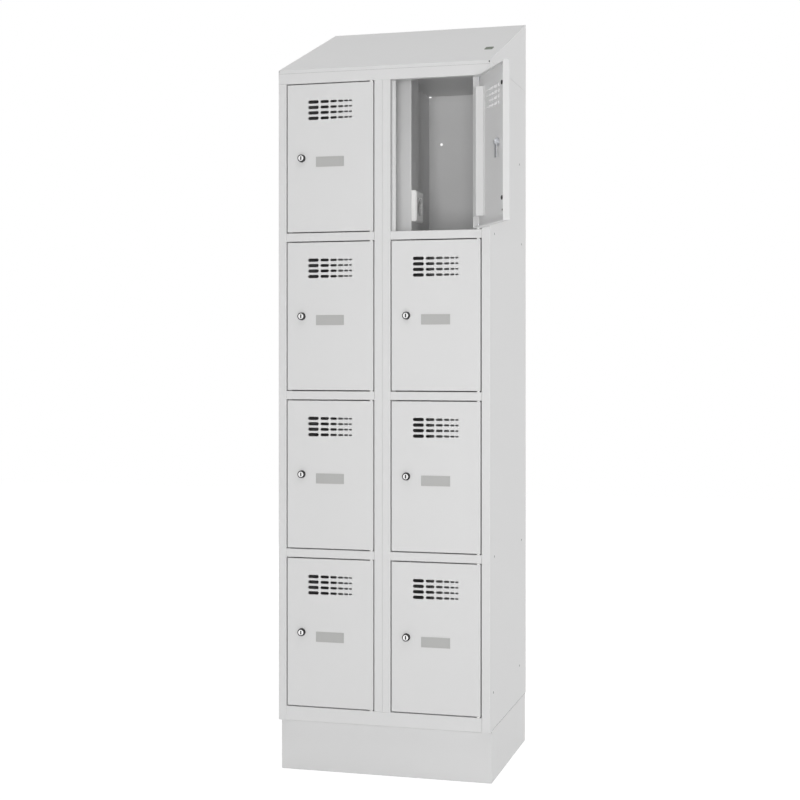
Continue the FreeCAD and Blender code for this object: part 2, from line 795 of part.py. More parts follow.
def charging_port(across, rise):
    """The contact block at the bottom of a port's pocket, with its tongue."""
    pocket_floor = outlet_thickness - port_depth
    half_width = port_width / 2 - port_clearance
    half_height = port_height / 2 - port_clearance
    base = box((pocket_floor, pocket_floor + port_base), (across - half_width, across + half_width),
               (rise - half_height, rise + half_height))
    half_tongue = half_width - port_tongue_inset
    tongue = box((pocket_floor, outlet_thickness - port_base), (across - half_tongue, across + half_tongue),
                 (rise - port_tongue_height / 2, rise + port_tongue_height / 2))
    return merged([base, tongue])


def at_each_outlet(shapes):
    """Copies of the shapes at every compartment's outlet."""
    return Part.makeCompound([moved(shape, x, 0, z) for x, z in each_outlet() for shape in shapes])


def junction_sizes():
    """The junction box's right end and its height, which follows the room under the slope."""
    right = width - junction_from_right
    room = duct_front * roof_tan - roof_drop
    return right, room * junction_height_share


def junction_box():
    """Closed box on the top panel where the supply is split between the columns."""
    right, height = junction_sizes()
    d = (duct_front, duct_front + duct_depth)
    return box((right - junction_width, right), d, (body_height, body_height + height))


def supply_cable(left, side):
    """A cable from the junction box, along the top panel and down a column's duct."""
    right, height = junction_sizes()
    d = duct_middle + side * cable_pitch / 2
    level = body_height + height / 2
    down = left + duct_centre
    bend = cable_bend_radius
    slant = bend * math.sin(math.pi / 4)
    start = V(right - junction_width, d, level)
    bend_start = V(down + bend, d, level)
    bend_middle = V(down + bend - slant, d, level - bend + slant)
    bend_end = V(down, d, level - bend)
    end = V(down, d, outlet_middle(row_count) - insert_drop - terminal_radius)
    edges = [Part.LineSegment(start, bend_start), Part.Arc(bend_start, bend_middle, bend_end),
             Part.LineSegment(bend_end, end)]
    path = Part.Wire([edge.toShape() for edge in edges])
    ring = Part.Wire(Part.makeCircle(cable_radius, start, V(-1, 0, 0)))
    return path.makePipeShell([ring], True, False)


def supply_cables():
    sides = [1 - 2 * index for index in range(column_count)]
    return Part.makeCompound([supply_cable(left, side) for (name, left), side in zip(columns(), sides)])


# Writing the nodes

def write(name, shape):
    """Move a piece to the part's frame and write it as one node."""
    placed = moved(shape, -width / 2, -body_depth / 2, plinth_height)
    placed.exportStep(os.path.join("parts", name + ".step"))


def write_carcass():
    column_lefts = [left for name, left in columns()]
    lock_side_panel, lock_side_partition = side_panel(True), partition(True)
    hinge_side_panel, hinge_side_partition = mirrored(side_panel(False)), mirrored(partition(False))
    write("side_panel_left", lock_side_panel)
    write("partition_left", hinge_side_partition)
    write("partition_right", moved(lock_side_partition, column_lefts[-1]))
    write("side_panel_right", moved(hinge_side_panel, column_lefts[-1]))
    write("back_panel", back_panel())
    write("top_panel", top_panel())
    write("floor_panel", floor_panel())
    write("roof", roof())
    write("cable_grommet", cable_grommet())
    write("plinth", plinth())
    shelves = [shelf(row) for row in range(1, row_count)]
    write("shelves", Part.makeCompound([moved(one, left) for left in column_lefts for one in shelves]))
    duct = cable_duct()
    write("cable_ducts", Part.makeCompound([moved(duct, left) for left in column_lefts]))
    write("hinge_pins", hinge_pins())
    write("hinge_bushes", hinge_bushes())


def write_outlets():
    write("outlet_housings", at_each_outlet([outlet_housing()]))
    write("outlet_inserts", at_each_outlet([outlet_insert()]))
    write("earth_pins", at_each_outlet([earth_pin()]))
    write("charging_ports", at_each_outlet([charging_port(across, rise) for across, rise in port_places()]))
    write("junction_box", junction_box())
    write("supply_cables", supply_cables())


def write_doors():
    pieces = {
        "door": Part.makeCompound([door_leaf(), door_stiffener()]),
        "label_holder": label_holder(),
        "buffers": buffers(),
        "lock_housing": lock_housing(),
        "lock_plug": lock_plug(),
    }
    for column, left in columns():
        for row in range(1, row_count + 1):
            x = left + stile_width + door_gap
            z = opening_bottom(row) + door_gap
            for piece, shape in pieces.items():
                placed = moved(shape, x, 0, z)
                if (column, row) == open_door:
                    placed.rotate(V(left + hinge_from_column, hinge_depth, z), V(0, 0, 1), open_angle)
                write(f"{piece}_{column}_{row}", placed)


os.makedirs("parts", exist_ok=True)
write_carcass()
write_outlets()
write_doors()
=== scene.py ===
"""Charging cabinet: finishes, small fasteners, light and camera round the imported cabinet.

All lengths are metres, in the cabinet's own frame: origin on the floor, front towards -Y, +Z up.
"""
import json
import math

import bmesh
import bpy
from mathutils import Matrix, Vector

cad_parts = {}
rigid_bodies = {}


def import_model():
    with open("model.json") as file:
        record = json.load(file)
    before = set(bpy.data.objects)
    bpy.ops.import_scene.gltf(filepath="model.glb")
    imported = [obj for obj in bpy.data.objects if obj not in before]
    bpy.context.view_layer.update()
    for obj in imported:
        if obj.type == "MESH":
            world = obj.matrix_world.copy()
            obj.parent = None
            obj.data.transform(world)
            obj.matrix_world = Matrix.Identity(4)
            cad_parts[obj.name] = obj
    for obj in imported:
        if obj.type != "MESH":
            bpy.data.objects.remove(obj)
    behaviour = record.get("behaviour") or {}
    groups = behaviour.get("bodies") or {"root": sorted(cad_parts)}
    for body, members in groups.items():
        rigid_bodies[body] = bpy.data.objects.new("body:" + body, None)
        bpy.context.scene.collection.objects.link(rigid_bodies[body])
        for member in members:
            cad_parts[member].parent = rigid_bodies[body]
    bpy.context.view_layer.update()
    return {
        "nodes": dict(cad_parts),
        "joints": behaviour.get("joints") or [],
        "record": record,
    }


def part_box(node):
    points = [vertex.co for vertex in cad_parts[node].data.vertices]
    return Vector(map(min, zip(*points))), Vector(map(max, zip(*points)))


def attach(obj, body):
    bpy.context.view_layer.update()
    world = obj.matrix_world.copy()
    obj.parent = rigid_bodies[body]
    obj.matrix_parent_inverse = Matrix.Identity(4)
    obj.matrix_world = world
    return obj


MM = 0.001

# Shelf rivets and the plugs in the joining holes of the side panels
rivet_radius = 3.3 * MM
rivet_crown_radius = 0.85 * rivet_radius
rivet_proud = 0.06 * MM
rivet_shoulder = 0.3 * rivet_proud
rivet_sink = 0.6 * MM
rivet_mandrel_radius = 1.1 * MM
rivet_dimple_radius = 0.9 * rivet_mandrel_radius
rivet_depths = (-193 * MM, 184 * MM)
rivet_heights = (607 * MM, 1481 * MM)
plug_radius = 2.45 * MM
plug_flange_radius = 3.8 * MM
plug_flange_sink = 1.1 * MM
plug_flange_taper = 0.15 * MM
plug_rim_radius = 3.3 * MM
plug_rim_lift = 0.01 * MM
plug_crown_radius = 0.95 * plug_rim_radius
plug_proud = 0.06 * MM
plug_sink = 1.8 * MM
plug_depths = (-205.6 * MM, 153.7 * MM)
plug_heights = (241.6 * MM, 1713 * MM)

# Plugs in the small holes of the door lips, placed from the lock's axis and the foot of the door
lip_plug_radius = 1.9 * MM
lip_plug_head_radius = 2.9 * MM
lip_plug_shoulder_radius = 0.9 * lip_plug_head_radius
lip_plug_crown_radius = 0.6 * lip_plug_head_radius
lip_plug_head_height = 0.6 * MM
lip_plug_shoulder_height = 0.7 * lip_plug_head_height
lip_plug_sink = 1.6 * MM
lip_face_depth = 18.0 * MM
lip_plug_from_lock = 36.5 * MM
lip_plug_above_foot = 27.0 * MM

# Strips in the seams under the roof's lip and above the plinth, whose mid grey and near black are painted
# shade of the seams
seam_strip_inset = 0.3 * MM
seam_strip_depth = 0.6 * MM
seal_play = 0.02 * MM
seal_corner = 0.1 * MM
lip_seam = 0.7 * MM
lip_end = 2.1 * MM
foot_seam = 1.2 * MM

# Sealant beads at the ends of the roof's lip, and the plug in the bending relief above the right one, whose
# near black is painted shade of the hole
bead_inset = 0.05 * MM
bead_width = 1.9 * MM
bead_depth = 0.9 * MM
left_bead_height = 8.6 * MM
right_bead_height = 4.4 * MM
relief_plug_radius = 1.7 * MM
relief_plug_depth = 0.6 * MM
relief_plug_inset = 0.15 * MM
relief_from_end = 2.0 * MM
relief_above_lip_foot = 6.4 * MM

# Locks, measured from the outer face of the door along the lock's axis
bezel_depth = 0.4 * MM
keyway_reach = 5.7 * MM
keyway_front = -8.4 * MM
keyway_floor = -5.3 * MM
nut_end = 6.0 * MM
barrel_end = 22.2 * MM
barrel_radius = 9.5 * MM
thread_pitch = 1.5 * MM
thread_height = 0.5 * MM
cam_back = 24.6 * MM
cam_bolt_radius = 6.1 * MM
cam_bolt_height = 3.4 * MM
bolt_corner = 0.45 * MM
washer_radius = 7.4 * MM
washer_height = 0.9 * MM
washer_edge_low = 0.3 * washer_height
washer_edge_high = 0.7 * washer_height

# Outlets, measured from the low corner of each socket's clear box
socket_floor_below = 0.5 * MM
socket_middle_above = 12.0 * MM
contact_pitch = 19.0 * MM
contact_radius = 2.4 * MM
contact_bore = 1.7 * MM
contact_rise = 0.3 * MM
contact_sink = 1.8 * MM
contact_bore_sink = 0.8 * contact_sink
outlet_screw_radius = 3.0 * MM
outlet_screw_height = 1.4 * MM

# Outline of an outlet screw's head, as shares of its radius and its height
outlet_screw_shares = [(0, 0), (1, 0), (1, 0.3), (0.85, 0.75), (0.4, 1), (0.3, 0.3), (0, 0.3)]

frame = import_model()
nodes = frame["nodes"]
lock_joints = {joint["child"]: joint for joint in frame["joints"] if joint["name"].startswith("lock_turn")}
sockets = [opening["box_m"] for opening in frame["record"]["physics"]["openings"]
           if opening["name"].startswith("socket")]


# Node graphs

class Field:
    """One output socket. Sums on fields add Math nodes to the graph that the socket is in."""

    def __init__(self, graph, socket):
        self.graph = graph
        self.socket = socket

    def math(self, operation, first, second=0.0):
        return self.graph.node("ShaderNodeMath", {"operation": operation}, {0: first, 1: second})

    def __add__(self, other):
        return self.math("ADD", self, other)

    def __sub__(self, other):
        return self.math("SUBTRACT", self, other)

    def __mul__(self, other):
        return self.math("MULTIPLY", self, other)

    def __radd__(self, other):
        return self.math("ADD", other, self)

    def __rsub__(self, other):
        return self.math("SUBTRACT", other, self)

    def __rmul__(self, other):
        return self.math("MULTIPLY", other, self)

    def __gt__(self, other):
        return self.math("GREATER_THAN", self, other)

    def __lt__(self, other):
        return self.math("LESS_THAN", self, other)

    def larger(self, other):
        return self.math("MAXIMUM", self, other)


class Graph:
    """A shader or geometry tree that nodes are added to."""

    def __init__(self, tree):
        self.tree = tree

    def put(self, socket, value):
        if isinstance(value, Field):
            self.tree.links.new(value.socket, socket)
        else:
            socket.default_value = value

    def node(self, kind, settings=None, sockets=None, output=0):
        made = self.tree.nodes.new(kind)
        for name, value in (settings or {}).items():
            setattr(made, name, value)
        for key, value in (sockets or {}).items():
            self.put(made.inputs[key], value)
        return Field(self, made.outputs[output])

    def object_place(self):
        return self.node("ShaderNodeTexCoord", output="Object")

    def noise(self, place, grain, detail=2.0):
        """Noise from 0 to 1 whose grains are about that long."""
        return self.node("ShaderNodeTexNoise", {}, {"Vector": place, "Scale": 1.0 / grain, "Detail": detail})

    def blend(self, factor, first, second):
        """A colour between two colours."""
        return self.node("ShaderNodeMix", {"data_type": "RGBA"}, {0: factor, 6: first, 7: second}, output=2)

    def bump(self, height, strength, depth):
        return self.node("ShaderNodeBump", {}, {"Height": height, "Strength": strength, "Distance": depth})


class Finish(Graph):
    """A material and its principled shader."""

    def __init__(self, name):
        self.material = bpy.data.materials.new(name)
        self.material.use_nodes = True
        super().__init__(self.material.node_tree)
        self.shader = self.tree.nodes["Principled BSDF"]

    def set(self, **values):
        """Shader sockets by name, with underscores for spaces."""
        for name, value in values.items():
            self.put(self.shader.inputs[name.replace("_", " ").title()], value)

    def tint(self, factor, colour, low, high):
        """A colour, from its low share where the factor is 0 to its high share where it is 1."""
        return self.blend(factor, shade(colour, low), shade(colour, high))


def grey(level):
    return (level, level, level, 1.0)


def shade(colour, share):
    return tuple(part * share for part in colour[:3]) + (1.0,)


# Finishes

def powder_coat(name, colour):
    """Textured powder coat: a fine orange peel, with cloudy and speckled differences in tone."""
    finish = Finish(name)
    place = finish.object_place()
    peel = finish.noise(place, grain=1.6 * MM, detail=1.5)
    speckle = finish.noise(place, grain=0.5 * MM, detail=1.0)
    cloud = finish.noise(place, grain=180 * MM, detail=3.0)
    tone = cloud * 0.7 + speckle * 0.3
    finish.set(base_color=finish.tint(tone, colour, low=0.985, high=1.015),
               roughness=0.46 + 0.1 * peel + 0.06 * cloud,
               normal=finish.bump(peel, strength=0.12, depth=0.1 * MM))
    return finish.material


def moulded_plastic(name, colour, roughness):
    """Moulded plastic with a fine spark-eroded grain and slight flow marks."""
    finish = Finish(name)
    place = finish.object_place()
    pits = finish.noise(place, grain=0.6 * MM, detail=2.0)
    flow = finish.noise(place, grain=25 * MM, detail=2.0)
    finish.set(base_color=finish.tint(flow, colour, low=0.98, high=1.02),
               roughness=roughness - 0.05 + 0.1 * pits,
               normal=finish.bump(pits, strength=0.1, depth=0.05 * MM))
    return finish.material


def rubber(name, colour):
    """Matt rubber with a chalky bloom and fine pores."""
    finish = Finish(name)
    place = finish.object_place()
    pores = finish.noise(place, grain=0.4 * MM, detail=3.0)
    bloom = finish.noise(place, grain=6 * MM, detail=3.0)
    finish.set(base_color=finish.tint(bloom, colour, low=0.8, high=1.25),
               roughness=0.72 + 0.12 * bloom,
               normal=finish.bump(pores, strength=0.2, depth=0.08 * MM))
    return finish.material


def plated_metal(name, colour, roughness):
    """Plated metal: soft crystal patches over a drawn grain."""
    finish = Finish(name)
    place = finish.object_place()
    patches = finish.noise(place, grain=1.5 * MM, detail=4.0)
    grain = finish.noise(place, grain=0.3 * MM, detail=2.0)
    finish.set(base_color=finish.tint(patches, colour, low=0.9, high=1.1), metallic=1.0,
               roughness=roughness - 0.08 + 0.16 * patches,
               normal=finish.bump(grain, strength=0.08, depth=0.03 * MM))
    return finish.material


def lock_depth(finish, place, joint):
    """How far a point lies behind the door's outer face, along the lock's axis."""
    axis = Vector(joint["axis"])
    reach = finish.node("ShaderNodeVectorMath", {"operation": "DOT_PRODUCT"}, {0: place, 1: axis},
                        output="Value")
    return reach - axis.dot(Vector(joint["pos_m"]))


def lock_housing_metal(name, joint):
    """Black gloss bezel outside the door, plated barrel and nut inside it."""
    finish = Finish(name)
    place = finish.object_place()
    inside = lock_depth(finish, place, joint) > bezel_depth
    ripple = finish.noise(place, grain=2 * MM, detail=3.0)
    enamel = finish.blend(ripple, grey(0.008), grey(0.014))
    plate = finish.blend(ripple, (0.6, 0.62, 0.66, 1.0), (0.74, 0.75, 0.78, 1.0))
    finish.set(base_color=finish.blend(inside, enamel, plate), metallic=inside,
               roughness=0.25 + 0.1 * ripple + 0.05 * inside,
               normal=finish.bump(ripple, strength=0.06, depth=0.05 * MM))
    finish.shader.inputs["Specular IOR Level"].default_value = 0.2
    return finish.material


def lock_plug_metal(name, joint):
    """Bright plug face whose keyway is painted near black as its shade; the cam behind the door is duller
    plate.
    """
    finish = Finish(name)
    place = finish.object_place()
    depth = lock_depth(finish, place, joint)
    axis_point = Vector(joint["pos_m"])
    span = finish.node("ShaderNodeVectorMath", {"operation": "SUBTRACT"}, {0: place, 1: axis_point})
    length = finish.node("ShaderNodeVectorMath", {"operation": "LENGTH"}, {0: span}, output="Value")
    near_axis = length * length - depth * depth < keyway_reach * keyway_reach
    # The keyway's walls get near-black, non-metal paint: painted shade of the slot.
    keyway_shade = near_axis * (depth > keyway_front) * (depth < keyway_floor)
    behind = depth > bezel_depth
    haze = finish.noise(place, grain=4 * MM, detail=3.0)
    hairlines = finish.noise(place, grain=0.15 * MM, detail=2.0)
    bright = finish.blend(haze, grey(0.88), grey(0.95))
    plate = finish.blend(haze, (0.62, 0.63, 0.66, 1.0), (0.72, 0.73, 0.75, 1.0))
    metal = finish.blend(behind, bright, plate)
    finish.set(base_color=finish.blend(keyway_shade, metal, grey(0.02)), metallic=1 - keyway_shade,
               roughness=0.07 + 0.08 * haze + 0.18 * behind + 0.4 * keyway_shade,
               normal=finish.bump(hairlines, strength=0.03, depth=0.02 * MM))
    return finish.material


paint_colour = grey(0.665)
finishes = {
    "body_paint": powder_coat("body_paint", paint_colour),
    "door_paint": powder_coat("door_paint", paint_colour),
    "plinth_paint": powder_coat("plinth_paint", paint_colour),
    "pin_steel": plated_metal("pin_steel", (0.68, 0.69, 0.71, 1.0), roughness=0.3),
    "bush_plastic": moulded_plastic("bush_plastic", (0.85, 0.85, 0.83, 1.0), roughness=0.45),
    "label_plastic": moulded_plastic("label_plastic", (0.425, 0.425, 0.418, 1.0), roughness=0.5),
    "buffer_rubber": rubber("buffer_rubber", grey(0.014)),
    "grommet_rubber": rubber("grommet_rubber", (0.165, 0.19, 0.155, 1.0)),
    "outlet_plastic": moulded_plastic("outlet_plastic", (0.91, 0.91, 0.90, 1.0), roughness=0.32),
    # Socket inserts are a darker grey than the outlets: painted shade of the socket recesses.
    "insert_plastic": moulded_plastic("insert_plastic", (0.47, 0.47, 0.465, 1.0), roughness=0.45),
    "contact_metal": plated_metal("contact_metal", (0.72, 0.70, 0.64, 1.0), roughness=0.28),
    "port_plastic": moulded_plastic("port_plastic", grey(0.05), roughness=0.5),
    # Seam strips: near black above the plinth and mid grey under the roof's lip, painted shade of the seams.
    "seal_foam": rubber("seal_foam", grey(0.05)),
    "lip_foam": rubber("lip_foam", grey(0.34)),
    "bead_sealant": rubber("bead_sealant", grey(0.6)),
    "cable_sheath": rubber("cable_sheath", grey(0.03)),
    "junction_plastic": moulded_plastic("junction_plastic", grey(0.5), roughness=0.55),
    "rivet_zinc": plated_metal("rivet_zinc", grey(0.1), roughness=0.55),
    # Plugs in holes are near black: painted shade of the holes.
    "plug_plastic": moulded_plastic("plug_plastic", grey(0.03), roughness=0.55),
}
lock_finishes = {}


def finish_for(node_name, slot_name):
    """The slot's finish, but a greyer one for socket inserts, as painted shade of the socket recesses, and
    one that follows the axis for locks.

    Lock housings that face alike share theirs, and each lock plug has its own.
    """
    # The greyer insert plastic is painted shade of the socket recesses.
    if node_name == "outlet_inserts":
        return finishes["insert_plastic"]
    if not slot_name.startswith("lock_"):
        return finishes[slot_name]
    door = node_name.removeprefix("lock_housing_").removeprefix("lock_plug_")
    joint = lock_joints["lock_" + door]
    make = lock_housing_metal
    key = (slot_name, *joint["axis"])
    if slot_name == "lock_chrome":
        make = lock_plug_metal
        key += tuple(joint["pos_m"])
    if key not in lock_finishes:
        lock_finishes[key] = make(f"{slot_name}_{door}", joint)
    return lock_finishes[key]


# Geometry trees

def geometry_graph(name, inputs):
    """A geometry tree with named inputs, and its input fields by name."""
    tree = bpy.data.node_groups.new(name, "GeometryNodeTree")
    for label, kind in inputs.items():
        tree.interface.new_socket(label, in_out="INPUT", socket_type=kind)
    tree.interface.new_socket("Geometry", in_out="OUTPUT", socket_type="NodeSocketGeometry")
    graph = Graph(tree)
    start = tree.nodes.new("NodeGroupInput")
    return graph, {label: Field(graph, start.outputs[label]) for label in inputs}


def finish_graph(graph, geometry):
    end = graph.tree.nodes.new("NodeGroupOutput")
    graph.put(end.inputs["Geometry"], geometry)
    return graph.tree


def finished_solid(graph, geometry, finish):
    """What each tree that makes a piece ends in: its copies as plain geometry, in their finish."""
    solid = graph.node("GeometryNodeRealizeInstances", {}, {"Geometry": geometry})
    return graph.node("GeometryNodeSetMaterial", {}, {"Geometry": solid, "Material": finish})


def soft_shading_tree(merge_distance, sharp_angle):
    """Joins a CAD node's loose triangles and shades its rounded faces smooth."""
    graph, given = geometry_graph("soft_shading", {"Geometry": "NodeSocketGeometry"})
    joined = graph.node("GeometryNodeMergeByDistance", {},
                        {"Geometry": given["Geometry"], "Distance": merge_distance})
    angle = graph.node("GeometryNodeInputMeshEdgeAngle", output="Unsigned Angle")
    faces = graph.node("GeometryNodeSetShadeSmooth", {"domain": "FACE"},
                       {"Geometry": joined, "Shade Smooth": True})
    edges = graph.node("GeometryNodeSetShadeSmooth", {"domain": "EDGE"},
                       {"Geometry": faces, "Shade Smooth": angle < sharp_angle})
    return finish_graph(graph, edges)


def spread_tree():
    """Copies of a template on points, turned so that its Z follows each point's facing."""
    graph, given = geometry_graph("spread", {"Geometry": "NodeSocketGeometry", "Template": "NodeSocketObject",
                                             "Finish": "NodeSocketMaterial"})
    template = graph.node("GeometryNodeObjectInfo", {}, {"Object": given["Template"]}, output="Geometry")
    facing = graph.node("GeometryNodeInputNamedAttribute", {"data_type": "FLOAT_VECTOR"}, {"Name": "facing"})
    turn = graph.node("FunctionNodeAlignRotationToVector", {"axis": "Z"}, {"Vector": facing})
    copies = graph.node("GeometryNodeInstanceOnPoints", {},
                        {"Points": given["Geometry"], "Instance": template, "Rotation": turn})
    return finish_graph(graph, finished_solid(graph, copies, given["Finish"]))


def thread_tree(points_per_turn, ridge_sides):
    """A screw thread: a ridge that winds up a barrel."""
    graph, given = geometry_graph("thread", {"Geometry": "NodeSocketGeometry", "Radius": "NodeSocketFloat",
                                             "Ridge": "NodeSocketFloat", "Turns": "NodeSocketFloat",
                                             "Length": "NodeSocketFloat", "Finish": "NodeSocketMaterial"})
    winding = graph.node("GeometryNodeCurveSpiral", {},
                         {"Resolution": points_per_turn, "Rotations": given["Turns"],
                          "Start Radius": given["Radius"], "End Radius": given["Radius"],
                          "Height": given["Length"]})
    ridge = graph.node("GeometryNodeCurvePrimitiveCircle", {},
                       {"Resolution": ridge_sides, "Radius": given["Ridge"]})
    tube = graph.node("GeometryNodeCurveToMesh", {},
                      {"Curve": winding, "Profile Curve": ridge, "Fill Caps": True})
    return finish_graph(graph, finished_solid(graph, tube, given["Finish"]))


def add_tree(obj, tree, **inputs):
    """A geometry modifier with its named inputs set."""
    modifier = obj.modifiers.new(tree.name, "NODES")
    modifier.node_group = tree
    sockets = {item.name: item.identifier for item in tree.interface.items_tree if item.in_out == "INPUT"}
    for label, value in inputs.items():
        modifier[sockets[label]] = value


def new_object(name, mesh):
    obj = bpy.data.objects.new(name, mesh)
    bpy.context.scene.collection.objects.link(obj)
    return obj


def make_plain(obj):
    """Gives an object the result of its modifiers as a plain mesh."""
    depsgraph = bpy.context.evaluated_depsgraph_get()
    mesh = bpy.data.meshes.new_from_object(obj.evaluated_get(depsgraph), depsgraph=depsgraph)
    obj.modifiers.clear()
    obj.data = mesh
    mesh.name = obj.name


# Small fasteners

def turned_mesh(name, outline, sides):
    """A closed mesh of revolution about Z. The outline's first and last points lie on the axis."""
    mesh = bmesh.new()
    rings = []
    for radius, height in outline:
        if radius == 0:
            rings.append([mesh.verts.new((0, 0, height))])
            continue
        turns = [2 * math.pi * k / sides for k in range(sides)]
        rings.append([mesh.verts.new((radius * math.cos(t), radius * math.sin(t), height)) for t in turns])
    for low, high in zip(rings, rings[1:]):
        for k in range(sides):
            after = k + 1
            corners = [low[k % len(low)], low[after % len(low)], high[after % len(high)], high[k % len(high)]]
            mesh.faces.new(list(dict.fromkeys(corners)))
    bmesh.ops.recalc_face_normals(mesh, faces=mesh.faces)
    data = bpy.data.meshes.new(name)
    mesh.to_mesh(data)
    mesh.free()
    return data


def spread(name, template, places, slot, body, finish=None):
    """Copies of a template mesh at (point, facing) places, as one piece that moves with a body."""
    points = bpy.data.meshes.new(name)
    points.from_pydata([point for point, facing in places], [], [])
    facings = points.attributes.new("facing", "FLOAT_VECTOR", "POINT")
    for item, (point, facing) in zip(facings.data, places):
        item.vector = facing
    pattern = bpy.data.objects.new(name + "_template", template)
    piece = new_object(name, points)
    add_tree(piece, spread_layout, Template=pattern, Finish=finishes[finish or slot])
    make_plain(piece)
    bpy.data.objects.remove(pattern)
    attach(piece, body)


def along(joint, depth):
    """The point on a lock's axis at a depth behind the door's outer face."""
    return Vector(joint["pos_m"]) + Vector(joint["axis"]) * depth


def axis_matrix(point, axis):
    """Places a shape that was made along Z on a level axis through a point, with its Y upwards."""
    forward = Vector(axis)
    side = Vector((0, 0, 1)).cross(forward)
    turn = Matrix((side, forward.cross(side), forward)).transposed()
    return Matrix.Translation(point) @ turn.to_4x4()


def side_places(depths, heights):
    """Places on the outer faces of both side panels, facing outwards."""
    sides = ((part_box("side_panel_left")[0].x, -1), (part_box("side_panel_right")[1].x, 1))
    return [((x, y, z), (direction, 0, 0)) for x, direction in sides for y in depths for z in heights]


def shelf_rivets():
    """Flush blind rivets that hold the upper and lower shelves to the side panels."""
    outline = [(0, -rivet_sink), (rivet_radius, -rivet_sink), (rivet_radius, rivet_shoulder),
               (rivet_crown_radius, rivet_proud), (rivet_mandrel_radius, rivet_proud),
               (rivet_dimple_radius, rivet_shoulder), (0, rivet_shoulder)]
    places = side_places(rivet_depths, rivet_heights)
    spread("shelf_rivets", turned_mesh("rivet", outline, sides=24), places, "pin_steel", "carcass",
           "rivet_zinc")


def hole_plugs():
    """Snap-in plugs that close the joining holes while the cabinet stands by itself; their near black is
    painted shade of the holes.
    """
    outline = [(0, -plug_sink), (plug_radius, -plug_sink),
               (plug_flange_radius, -plug_flange_sink - plug_flange_taper),
               (plug_flange_radius, -plug_flange_sink), (plug_radius, -plug_flange_sink),
               (plug_radius, plug_rim_lift), (plug_rim_radius, plug_rim_lift),
               (plug_crown_radius, plug_proud), (0, plug_proud)]
    places = side_places(plug_depths, plug_heights)
    spread("hole_plugs", turned_mesh("hole_plug", outline, sides=24), places, "bush_plastic", "carcass",
           "plug_plastic")


def lip_plugs():
    """A small plug in the lip of each door, near its foot on the lock side; its near black is painted shade
    of the hole.
    """
    outline = [(0, -lip_plug_sink), (lip_plug_radius, -lip_plug_sink), (lip_plug_radius, plug_rim_lift),
               (lip_plug_head_radius, plug_rim_lift), (lip_plug_shoulder_radius, lip_plug_shoulder_height),
               (lip_plug_crown_radius, lip_plug_head_height), (0, lip_plug_head_height)]
    template = turned_mesh("lip_plug", outline, sides=20)
    for body, joint in lock_joints.items():
        door = body.removeprefix("lock_")
        to_lock_side = Vector((0, 0, 1)).cross(Vector(joint["axis"]))
        point = along(joint, lip_face_depth) + to_lock_side * lip_plug_from_lock
        point.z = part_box(f"door_{door}")[0].z + lip_plug_above_foot
        spread(f"lip_plug_{door}", template, [(point, joint["axis"])], "bush_plastic", joint["parent"],
               "plug_plastic")


def seam_filling(name, spans, finish):
    """Round-edged strips that fill spans of seams, as one piece on the carcass."""
    mesh = bmesh.new()
    for span in spans:
        middle = Vector([(low + high) / 2 for low, high in span])
        size = [high - low - 2 * seal_play for low, high in span]
        bmesh.ops.create_cube(mesh, matrix=Matrix.LocRotScale(middle, None, size))
    bmesh.ops.bevel(mesh, geom=mesh.edges[:], offset=seal_corner, segments=2, profile=0.5, affect="EDGES")
    strips = new_object(name, bpy.data.meshes.new(name))
    mesh.to_mesh(strips.data)
    mesh.free()
    strips.data.materials.append(finishes[finish])
    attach(strips, "carcass")


def seam_shade_strips():
    """Strips in the seams under the roof's lip and above the plinth, coloured as painted shade of the seams.
    """
    roof_low, roof_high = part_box("roof")
    plinth_low, plinth_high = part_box("plinth")
    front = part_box("top_panel")[0].y
    lip_span = ((roof_low.x + lip_end, roof_high.x - lip_end),
                (front + seam_strip_inset, front + seam_strip_inset + seam_strip_depth),
                (roof_low.z - lip_seam, roof_low.z))
    seam_filling("lip_seal", [lip_span], "lip_foam")
    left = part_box("side_panel_left")[0].x + seam_strip_inset
    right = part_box("side_panel_right")[1].x - seam_strip_inset - seam_strip_depth
    foot_spans = [((x, x + seam_strip_depth), (plinth_low.y, plinth_high.y),
                   (plinth_high.z, plinth_high.z + foot_seam)) for x in (left, right)]
    seam_filling("foot_seals", foot_spans, "seal_foam")


def lip_ends():
    """Sealant at the ends of the roof's lip, and a near-black plug in the bending relief at its right end,
    painted shade of the relief hole.
    """
    roof_low, roof_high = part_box("roof")
    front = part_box("top_panel")[0].y
    lip_foot = roof_low.z - lip_seam
    bead_foot = lip_foot + bead_inset
    bead_run = (front + bead_inset, front + bead_inset + bead_depth)
    beads = ((roof_low.x + bead_inset, left_bead_height),
             (roof_high.x - bead_inset - bead_width, right_bead_height))
    bead_spans = [((x, x + bead_width), bead_run, (bead_foot, bead_foot + height)) for x, height in beads]
    seam_filling("lip_beads", bead_spans, "bead_sealant")
    disc = [(0, -relief_plug_depth), (relief_plug_radius, -relief_plug_depth),
            (relief_plug_radius, -seal_corner), (relief_plug_radius - seal_corner, 0), (0, 0)]
    relief = (roof_high.x - relief_from_end, front + relief_plug_inset, lip_foot + relief_above_lip_foot)
    facing = (0, -1, 0)
    spread("relief_plug", turned_mesh("relief_plug", disc, sides=24), [(relief, facing)], "buffer_rubber",
           "carcass", "plug_plastic")


